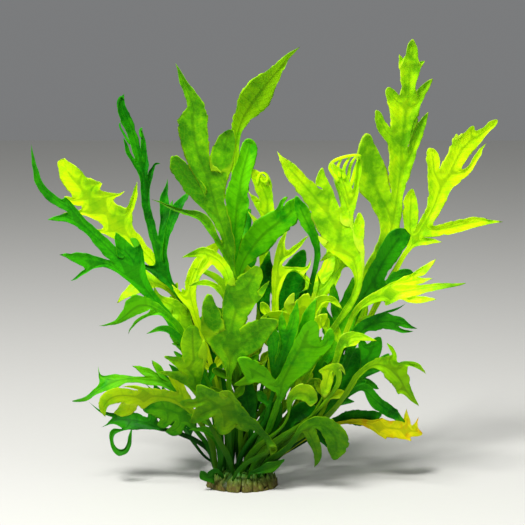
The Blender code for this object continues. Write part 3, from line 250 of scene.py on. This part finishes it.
# Fronds
frondShape = {
    "rimAngles": (92.0, 140.0),  # degrees: past the first an edge is a rim, past the second a thin blade's
    "rimCrease": 0.3,       # how firmly smoothing keeps the softest rim
    "bladeFrom": 0.3,       # how thin the tissue is where a stalk turns into a blade
    "quadAngles": (38.0, 65.0),  # degrees, out of flat and out of square, within which triangles are joined
    "keenTip": (26.0, 62.0),     # degrees: slimmer lobes stay pointed, broader ones are round
    "tipCrease": 0.8,       # how firmly smoothing keeps a pointed tip
    "letOut": 0.42,         # how far the rims are let out at their bends before smoothing draws them in
    "smoothing": 3,
    "rimBand": 0.97,        # share of the way to the rim from which a point is on it
    "flatTo": 0.3,          # share of the way to the rim over which a blade neither folds nor ripples
    "stillShare": 0.3,      # how much of the slow waves the midrib takes
    "fold": 1.3,            # mm that rims stand forward of the midrib
    "tooth": (5.2, 0.55),   # pitch and depth in mm of the teeth along the rims
    "toothShape": (1.5, 0.35),   # how late a tooth rises, and how much of its depth is cut into the rim
    "toothDrift": 9.0,      # mm over which their pitch varies
    "lap": (8.0, 0.8),      # size and depth in mm of the uneven bays between them
    "notch": (9.0, 0.8),    # spacing and depth in mm of the cuts in them
    "notchWidth": 0.09,
    "broad": 5.0,           # mm, half width from which a lobe has full teeth
    "stalkSwell": 0.06,     # mm that a rounded stalk is let out
    "wave": (17.0, 1.5),    # size and height in mm of a blade's slow waves
    "ripple": (4.6, 0.55),  # of the ripples along its rims
    "noiseStep": (3.1, 1.7, 0.9),    # how far the noise moves on from one frond to the next
    "toneSpread": 0.4,      # tones of the fronds that frondTone leaves out
    "seed": 5,
}
# Where a frond is much paler (up to 1) or deeper (down to -1) than others of its kind, partly its own tone
# and partly painted light and shade
frondTone = {
    "broad_top_frond": -0.55, "tall_right_frond": -0.2, "folded_top_frond": 1.1, "blunt_bright_frond": 0.7,
    "middle_dark_frond": 0.3, "mid_green_frond": 0.7, "far_left_frond": 0.7, "left_upright_frond": 0.9,
    "left_whip_frond": 0.6, "left_yellow_frond": 0.5, "left_lime_frond": 0.4, "front_right_frond": 0.9,
    "front_left_frond": 0.2, "right_lime_frond": 0.6, "left_forked_frond": 0.7, "left_shaded_frond": 0.4,
    "right_spray_frond": 0.3, "lime_crested_frond": 0.5, "wilted_frond": 0.0, "left_low_frond": 0.4,
    "dark_folded_frond": 0.8, "right_hanging_frond": 0.7, "dark_right_frond": 0.4,
}


def frondCage(node):
    # The solid's mesh, merged, with quads for triangles and its rims marked for smoothing.
    bm = bmesh.new()
    bm.from_mesh(node.data)
    bmesh.ops.remove_doubles(bm, verts=bm.verts, dist=0.001 * mm)
    crease = bm.edges.layers.float.new("crease_edge")
    tipCrease = bm.verts.layers.float.new("crease_vert")
    across = bm.verts.layers.float.new("across")
    blade = bm.verts.layers.float.new("blade")
    low, full = (math.radians(angle) for angle in frondShape["rimAngles"])
    softest = frondShape["rimCrease"]
    for edge in bm.edges:
        angle = edge.calc_face_angle(0.0)
        if angle > low:
            thin = min(1.0, (angle - low) / (full - low))
            edge[crease] = softest + (1.0 - softest) * thin
            for v in edge.verts:
                v[across] = 1.0
                v[blade] = max(v[blade], thin)
    for v in bm.verts:
        if v[across] == 0.0:
            beside = [e.other_vert(v)[blade] for e in v.link_edges if e.other_vert(v)[across] == 1.0]
            v[blade] = sum(beside) / max(1, len(beside))
    flat, square = (math.radians(angle) for angle in frondShape["quadAngles"])
    bmesh.ops.join_triangles(bm, faces=bm.faces, angle_face_threshold=flat, angle_shape_threshold=square,
                             cmp_seam=False, cmp_sharp=False, cmp_uvs=False, cmp_vcols=False,
                             cmp_materials=False)
    # Smoothing draws a rim in at its bends, so it is first let out there by as much.
    sharp, blunt = (math.radians(angle) for angle in frondShape["keenTip"])
    moves = {}
    for v in bm.verts:
        rims = [e for e in v.link_edges if e[crease] > 0.0]
        if len(rims) == 2 and v[blade] > frondShape["bladeFrom"]:
            ends = [e.other_vert(v).co for e in rims]
            mean = (ends[0] + ends[1]) / 2
            spread = (ends[0] - v.co).angle(ends[1] - v.co, math.pi)
            keen = min(1.0, max(0.0, (blunt - spread) / (blunt - sharp)))
            v[tipCrease] = frondShape["tipCrease"] * keen
            moves[v] = (v.co - mean) * frondShape["letOut"] * (1.0 - keen)
        elif v[blade] < frondShape["bladeFrom"]:
            moves[v] = v.normal * frondShape["stalkSwell"] * mm
    for v, move in moves.items():
        v.co += move
    return bm


def smoothed(bm, name, levels):
    # The mesh as the Subdivision Surface modifier leaves it.
    mesh = bpy.data.meshes.new(name)
    bm.to_mesh(mesh)
    bm.free()
    rough = bpy.data.objects.new(name, mesh)
    sheetOf.objects.link(rough)
    smoother = rough.modifiers.new("smoother", "SUBSURF")
    smoother.levels = levels
    smoother.render_levels = levels
    smoother.use_limit_surface = False
    bpy.context.view_layer.update()
    graph = bpy.context.evaluated_depsgraph_get()
    result = bpy.data.meshes.new_from_object(rough.evaluated_get(graph), preserve_all_data_layers=True,
                                             depsgraph=graph)
    bpy.data.objects.remove(rough)
    bpy.data.meshes.remove(mesh)
    bm = bmesh.new()
    bm.from_mesh(result)
    bpy.data.meshes.remove(result)
    return bm


def dressFrond(nodeName, order):
    node = frame["nodes"][nodeName]
    pieceName = nodeName.replace("_frond", "_leaf")
    levels = frondShape["smoothing"]
    bm = smoothed(frondCage(node), pieceName, levels)
    across = bm.verts.layers.float["across"]
    blade = bm.verts.layers.float["blade"]
    reach = bm.verts.layers.float.new("reach")
    own = bm.verts.layers.float.new("own")
    anyTone = random.uniform(-frondShape["toneSpread"], frondShape["toneSpread"])
    ownTone = frondTone.get(nodeName, anyTone)
    foot = min(bm.verts, key=lambda v: v.co.z).co.copy()
    low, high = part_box(nodeName)
    offset = Vector([order * step for step in frondShape["noiseStep"]])
    waveSize, waveHeight = frondShape["wave"]
    rippleSize, rippleHeight = frondShape["ripple"]
    toothPitch, toothDepth = frondShape["tooth"]
    late, cutIn = frondShape["toothShape"]
    lapSize, lapDepth = frondShape["lap"]
    notchSize, notchDepth = frondShape["notch"]
    flatTo, still = frondShape["flatTo"], frondShape["stillShare"]
    middle = (low + high) / 2
    # blades fold towards the front, and those of the back away from the crown
    forward = Vector((0.0, -1.0, 0.0))
    if nodeName.startswith("back_"):
        forward = Vector((middle.x, middle.y, 0.0)).normalized()
    rims = {v for v in bm.verts if v[across] > frondShape["rimBand"]}
    moves = []
    for v in bm.verts:
        rim = max(0.0, v[across] - flatTo) / (1.0 - flatTo)
        wave = noise.noise_vector(v.co / (waveSize * mm) + offset) * waveHeight * mm
        ripple = noise.noise_vector(v.co / (rippleSize * mm) + offset) * rippleHeight * mm
        move = wave * (still + (1.0 - still) * rim) + ripple * rim + forward * frondShape["fold"] * mm * rim
        if v in rims:
            inner = [e.other_vert(v).co for e in v.link_edges if e.other_vert(v) not in rims]
            if inner:
                outward = v.co - sum(inner, Vector()) / len(inner)
                size = min(1.0, outward.length * 2 ** levels / (frondShape["broad"] * mm)) ** 2
                # a tooth rises slowly towards the tip and then steps back
                drift = noise.noise(v.co / (frondShape["toothDrift"] * mm) + offset)
                step = (v.co - foot).length / (toothPitch * mm) + drift
                tooth = (step % 1.0) ** late - cutIn
                bay = noise.noise(v.co / (lapSize * mm) + offset * 2.0)
                beside = abs(noise.noise(v.co / (notchSize * mm) - offset))
                notch = max(0.0, 1.0 - beside / frondShape["notchWidth"])
                out = tooth * toothDepth + bay * lapDepth - notch * notchDepth
                move += outward.normalized() * out * size * mm
        moves.append(move * v[blade])
    for v, move in zip(bm.verts, moves):
        v[reach] = (v.co - foot).length / (frondSkin["sideVeinMm"] * mm)
        v[own] = ownTone
        v.co += move
        v.co.z = max(v.co.z, low.z)
    bm.normal_update()
    mesh = bpy.data.meshes.new(pieceName)
    bm.to_mesh(mesh)
    bm.free()
    mesh.shade_smooth()
    piece = bpy.data.objects.new(pieceName, mesh)
    sheetOf.objects.link(piece)
    mesh.materials.append(skins[slotOf[nodeName]])
    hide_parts(nodeName)
    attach(piece, "root")


print("fronds")
random.seed(frondShape["seed"])
noise.seed_set(frondShape["seed"])      # without it the waves would differ from run to run
for order, nodeName in enumerate(sorted(slotOf)):
    if nodeName != "crown":
        dressFrond(nodeName, order)

# Curled tips
curlShape = {
    "sides": 6,
    "taper": 0.45,      # share of its width that a strand loses towards its end
    "flatness": 0.5,    # its thickness as a share of its width
    "tone": 0.3,        # where frondTone leaves the frond out
    "smoothing": 2,
}
# For each frond, the width of its strands in mm and the strands, each starting on the frond. Points are
# (across, up) in mm as they line up seen from the camera.
curls = {
    "right_centre": (2.6, (
        ((36.5, 154), (34.5, 157.5), (31.6, 161), (33.2, 164.2), (37, 165.9), (41, 167), (45, 167.6),
         (48, 167.2)),
        ((37.5, 156), (36.4, 159.5), (36, 162.5), (38.4, 166)),
        ((39.5, 155), (39, 160), (39.8, 163), (42.6, 167)),
        ((41.2, 154), (41.8, 159), (42.2, 162.6), (45.4, 167.2)),
        ((42.4, 151), (44, 156.5), (45, 162), (47.4, 166.8)))),
    "tall_left": (1.7, (
        ((-71.5, 188), (-72.9, 191.5), (-72.9, 194.5), (-71.6, 196.6), (-70.2, 196.5), (-69.9, 195.2)),
        ((-61.3, 176), (-62.3, 179), (-61.7, 181), (-60.8, 180.4)),
        ((-67, 172.5), (-70, 178), (-72.4, 182), (-71.8, 183.6)))),
    "lime_ringlet": (1.9, (
        ((-4, 152), (-3.6, 156), (-2.6, 158.6), (-0.6, 158.7), (1.1, 157.2), (1.3, 155), (0, 153.8),
         (-1.6, 154.4), (-2.2, 156.2)),
        ((2.6, 148), (3.2, 152.5), (2, 156), (0.8, 157.6)))),
}


def depthOf(nodeName, across, up):
    # How far back the frond is on the line of sight through (across, up).
    def miss(point):
        seen = Vector((point.x, point.z - eyeHeight)) * eyeDistance / (eyeDistance + point.y)
        return (seen - Vector((across, up - eyeHeight))).length
    return min((v.co for v in frame["nodes"][nodeName].data.vertices), key=miss).y


def addStrand(bm, points, width, depth):
    # A thin flat strand: a small ring drawn out from point to point, narrower towards its end.
    made = bmesh.ops.create_circle(bm, cap_ends=True, segments=curlShape["sides"], radius=1.0)["verts"]
    edges = list(made[0].link_faces[0].edges)
    ring = list(made)
    turns = [math.atan2(v.co.y, v.co.x) for v in ring]
    for i, (across, up) in enumerate(points):
        before = Vector(points[max(0, i - 1)])
        after = Vector(points[min(len(points) - 1, i + 1)])
        along = (after - before).normalized()
        half = 0.5 * width * (1.0 - curlShape["taper"] * i / (len(points) - 1)) * mm
        scale = (eyeDistance + depth) / eyeDistance
        middle = Vector((across * mm * scale, depth, eyeHeight + (up * mm - eyeHeight) * scale))
        if i:
            grown = bmesh.ops.extrude_edge_only(bm, edges=edges)["geom"]
            edges = [item for item in grown if isinstance(item, bmesh.types.BMEdge) and item.is_boundary]
            nearest = [item for item in grown if isinstance(item, bmesh.types.BMVert)]
            ring = [min(nearest, key=lambda v: (v.co - old.co).length) for old in ring]
        for v, turn in zip(ring, turns):
            v.co = middle + Vector((-along.y, 0.0, along.x)) * math.cos(turn) * half
            v.co.y += curlShape["flatness"] * math.sin(turn) * half
    bmesh.ops.holes_fill(bm, edges=edges, sides=0)


def makeCurls(frondName, width, strands):
    nodeName = frondName + "_frond"
    bm = bmesh.new()
    for points in strands:
        depth = depthOf(nodeName, points[0][0] * mm, points[0][1] * mm)
        addStrand(bm, points, width, depth)
    bmesh.ops.recalc_face_normals(bm, faces=bm.faces)
    bm = smoothed(bm, frondName + "_curls", curlShape["smoothing"])
    ownTone = frondTone.get(nodeName, curlShape["tone"])
    for name, value in (("across", 0.5), ("blade", 1.0), ("reach", 0.0), ("own", ownTone)):
        layer = bm.verts.layers.float.new(name)
        for v in bm.verts:
            v[layer] = value
    mesh = bpy.data.meshes.new(frondName + "_curls")
    bm.to_mesh(mesh)
    bm.free()
    mesh.shade_smooth()
    mesh.materials.append(skins[slotOf[nodeName]])
    piece = bpy.data.objects.new(frondName + "_curls", mesh)
    sheetOf.objects.link(piece)
    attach(piece, "root")


print("curled tips")
for frondName, (width, strands) in curls.items():
    makeCurls(frondName, width, strands)

# Crown
crownShape = {
    # degrees up the mound of each row, and the scales in it
    "rows": ((0.0, 24), (14.0, 24), (28.0, 22), (44.0, 16), (62.0, 10)),
    "scale": (6.8, 1.9, 1.0),     # half length, half width and half thickness in mm
    "scaleMesh": (8, 9),          # its faces around and along
    "taper": (0.6, 1.5),          # share of its width that it loses at its tip, and how late
    "curve": 0.5,                 # half thicknesses that its ends bend out
    "uneven": (0.55, 1.35),       # range of their sizes
    "shortest": 0.5,              # share of their length that the lowest row keeps
    "lean": 2.0,                  # degrees that the tips stand off the mound
    "sunkMm": 0.8,                # how far the top row is sunk into the mound
    "astray": (0.35, 5.0, 0.25),  # shares of a gap, degrees of rise and radians of twist that a scale is off
    "cutMm": 0.02,                # height at which the ground cuts them
    "fibreMm": 1.6,
    "speckMm": 0.6,
    "greenMm": (1.5, 10.0),       # above the ground: brown up to the first, green from the second
    "greenLeast": 0.1,            # how green the brown part is
    "fibreStops": (0.45, 0.75),   # where a paler fibre starts and where it is full
    "fibreShare": 0.7,
    "rough": (0.45, 0.75),
    "reliefMm": 0.3,
    "reliefStrength": 0.5,
    "ior": 1.4,                   # plant tissue
    "gleam": 0.3,                 # dull where it is old
    "scaleTones": ("#4A3614", "#1C6206", "#6A7A24"),    # brown, green and the paler fibres
    "moundTones": ("#2C200C", "#144C04", "#2E5A10"),
    "seed": 11,
}


def makeCrownSkin(name, brown, green, pale):
    # Old leaf bases: fibrous wet tissue, brown where they meet the ground and green where they are alive.
    material = newMaterial(name)
    place = addNode(material, "ShaderNodeTexCoord").outputs["Object"]
    fibre = addNode(material, "ShaderNodeTexNoise", values={
        "Scale": perMetre(crownShape["fibreMm"]), "Detail": 5.0, "Roughness": 0.7}, links={"Vector": place})
    speck = addNode(material, "ShaderNodeTexNoise", values={"Scale": perMetre(crownShape["speckMm"])},
                    links={"Vector": place})
    height = addNode(material, "ShaderNodeSeparateXYZ", links={0: place}).outputs["Z"]
    brownTo, greenFrom = (value * mm for value in crownShape["greenMm"])
    alive = addNode(material, "ShaderNodeMapRange", {"interpolation_type": "SMOOTHSTEP"},
                    {1: brownTo, 2: greenFrom, 3: crownShape["greenLeast"], 4: 1.0}, {0: height})
    skin = mixColour(material, alive.outputs[0], hexColour(brown), hexColour(green))
    streak = setRamp(addNode(material, "ShaderNodeValToRGB", links={"Fac": fibre.outputs["Fac"]}),
                     zip(crownShape["fibreStops"], (0.0, crownShape["fibreShare"])))
    skin = mixColour(material, streak.outputs["Color"], skin, hexColour(pale))
    bump = addNode(material, "ShaderNodeBump", values={
        "Strength": crownShape["reliefStrength"], "Distance": crownShape["reliefMm"] * mm},
                   links={"Height": fibre.outputs["Fac"]})
    smooth, coarse = crownShape["rough"]
    gloss = addNode(material, "ShaderNodeMapRange", values={1: 0.3, 2: 0.7, 3: smooth, 4: coarse},
                    links={0: speck.outputs["Fac"]})
    shader = addNode(material, "ShaderNodeBsdfPrincipled",
                     values={"IOR": crownShape["ior"], "Specular IOR Level": crownShape["gleam"]},
                     links={"Base Color": skin, "Roughness": gloss.outputs[0], "Normal": bump.outputs[0]})
    addNode(material, "ShaderNodeOutputMaterial", links={"Surface": shader.outputs[0]})
    return material


def addScale(bm, turn, rise):
    # One old leaf base: a pointed scale that lies on the mound with its tip up.
    low, high = crownShape["uneven"]
    halfLength, halfWidth, halfThick = (value * random.uniform(low, high) for value in crownShape["scale"])
    shortest = crownShape["shortest"]
    halfLength *= shortest + (1.0 - shortest) * math.sin(rise)
    around, along = crownShape["scaleMesh"]
    lost, late = crownShape["taper"]
    made = bmesh.ops.create_uvsphere(bm, u_segments=around, v_segments=along, radius=1.0)["verts"]
    for v in made:
        up = v.co.z
        narrow = 1.0 - lost * max(0.0, up) ** late
        v.co = Vector((v.co.x * halfThick * narrow + crownShape["curve"] * halfThick * up * up,
                       v.co.y * halfWidth * narrow, up * halfLength)) * mm
    half = (crownHigh - crownLow) / 2
    ground = Vector((half.x * math.cos(rise) * math.cos(turn), half.y * math.cos(rise) * math.sin(turn),
                     (crownHigh.z - crownShape["sunkMm"] * mm) * math.sin(rise)))
    tilt = Matrix.Rotation(-rise + math.radians(crownShape["lean"]), 4, "Y")
    mostTwist = crownShape["astray"][2]
    twist = Matrix.Rotation(random.uniform(-mostTwist, mostTwist), 4, "X")
    spot = Matrix.Translation(crownMiddle + ground) @ Matrix.Rotation(turn, 4, "Z") @ tilt @ twist
    bmesh.ops.transform(bm, matrix=spot, verts=made)


def makeCrownScales():
    bm = bmesh.new()
    mostTurn, mostRise = crownShape["astray"][:2]
    for rise, count in crownShape["rows"]:
        for i in range(count):
            # the row's rise also puts it out of step with the others
            turn = (i + random.uniform(-mostTurn, mostTurn)) / count * math.tau + rise
            addScale(bm, turn, math.radians(rise + random.uniform(-mostRise, mostRise)))
    geometry = bm.verts[:] + bm.edges[:] + bm.faces[:]
    bmesh.ops.bisect_plane(bm, geom=geometry, plane_co=(0, 0, crownShape["cutMm"] * mm), plane_no=(0, 0, 1),
                           clear_inner=True)
    cut = [edge for edge in bm.edges if edge.is_boundary]
    bmesh.ops.holes_fill(bm, edges=cut, sides=0)
    bmesh.ops.recalc_face_normals(bm, faces=bm.faces)
    mesh = bpy.data.meshes.new("crown_scales")
    bm.to_mesh(mesh)
    bm.free()
    mesh.shade_smooth()
    mesh.materials.append(makeCrownSkin("leaf_base_skin", *crownShape["scaleTones"]))
    scales = bpy.data.objects.new("crown_scales", mesh)
    sheetOf.objects.link(scales)
    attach(scales, "root")


print("crown")
random.seed(crownShape["seed"])
crownNode = frame["nodes"]["crown"]
crownNode.data.materials.clear()
crownNode.data.materials.append(makeCrownSkin("rootstock_skin", *crownShape["moundTones"]))
makeCrownScales()

# Camera
cameraSet = {
    "eye": (0.0, -eyeDistance, eyeHeight),
    "aim": (-0.00125, 0.0, 0.11375),
    "seenWidth": 0.2625,    # metres across the picture at the crown
    "sensor": 36.0,         # mm
    "nearest": 0.01,        # metres, the closest thing that it shows
}
print("camera, floor and light")
eye = Vector(cameraSet["eye"])
aim = Vector(cameraSet["aim"])
lens = bpy.data.cameras.new("camera")
lens.sensor_width = cameraSet["sensor"]
lens.lens = cameraSet["sensor"] * (aim - eye).length / cameraSet["seenWidth"]
lens.clip_start = cameraSet["nearest"]
camera = bpy.data.objects.new("camera", lens)
camera.location = eye
camera.rotation_euler = (aim - eye).to_track_quat("-Z", "Y").to_euler()
sheetOf.objects.link(camera)
bpy.context.scene.camera = camera

# Floor and light
stageSet = {
    "floorSize": 6.0,             # metres
    "floorTone": "#C6C5C0",
    "floorRough": (0.7, 0.9),
    "fleckMm": 8.0,
    "skyTone": "#E8EAEC",
    "skyPower": (0.243, 0.34),    # at the horizon and overhead
    "overheadFrom": 0.7,          # height on a sky of radius 1 from which it counts as overhead
    # watts, place and size in metres of the lamps, and where they point
    "keyPower": 46.0, "keyPlace": (-0.42, -0.9, 1.32), "keySize": 0.48,
    "fillPower": 2.0, "fillPlace": (0.7, -0.7, 0.5), "fillSize": 0.8,
    "lampAim": (0.0, 0.0, 0.1),
}


def makeFloor():
    # Matt studio paper: pale and plain, with hardly a change of gloss from place to place.
    material = newMaterial("floor_paper")
    place = addNode(material, "ShaderNodeTexCoord").outputs["Object"]
    fleck = addNode(material, "ShaderNodeTexNoise", values={"Scale": perMetre(stageSet["fleckMm"])},
                    links={"Vector": place})
    smooth, coarse = stageSet["floorRough"]
    gloss = addNode(material, "ShaderNodeMapRange", values={3: smooth, 4: coarse},
                    links={0: fleck.outputs["Fac"]})
    shader = addNode(material, "ShaderNodeBsdfPrincipled",
                     values={"Base Color": hexColour(stageSet["floorTone"])},
                     links={"Roughness": gloss.outputs[0]})
    addNode(material, "ShaderNodeOutputMaterial", links={"Surface": shader.outputs[0]})
    bm = bmesh.new()
    bmesh.ops.create_grid(bm, x_segments=1, y_segments=1, size=stageSet["floorSize"] / 2)
    mesh = bpy.data.meshes.new("floor")
    bm.to_mesh(mesh)
    bm.free()
    mesh.materials.append(material)
    floor = bpy.data.objects.new("floor", mesh)
    sheetOf.objects.link(floor)


def addLamp(name, power, place, size):
    light = bpy.data.lights.new(name, "AREA")
    light.energy = power
    light.size = size
    lamp = bpy.data.objects.new(name, light)
    lamp.location = place
    lamp.rotation_euler = (Vector(stageSet["lampAim"]) - Vector(place)).to_track_quat("-Z", "Y").to_euler()
    sheetOf.objects.link(lamp)


makeFloor()
addLamp("key", stageSet["keyPower"], stageSet["keyPlace"], stageSet["keySize"])
addLamp("fill", stageSet["fillPower"], stageSet["fillPlace"], stageSet["fillSize"])
world = bpy.data.worlds.new("studio")
world.use_nodes = True
sky = world.node_tree.nodes["Background"]
sky.inputs["Color"].default_value = hexColour(stageSet["skyTone"])
direction = addNode(world, "ShaderNodeTexCoord").outputs["Generated"]
upwards = addNode(world, "ShaderNodeSeparateXYZ", links={0: direction}).outputs["Z"]
horizon, overhead = stageSet["skyPower"]
power = addNode(world, "ShaderNodeMapRange",
                values={1: 0.0, 2: stageSet["overheadFrom"], 3: horizon, 4: overhead}, links={0: upwards})
world.node_tree.links.new(power.outputs[0], sky.inputs["Strength"])
bpy.context.scene.world = world
bpy.context.scene.view_settings.view_transform = "Standard"
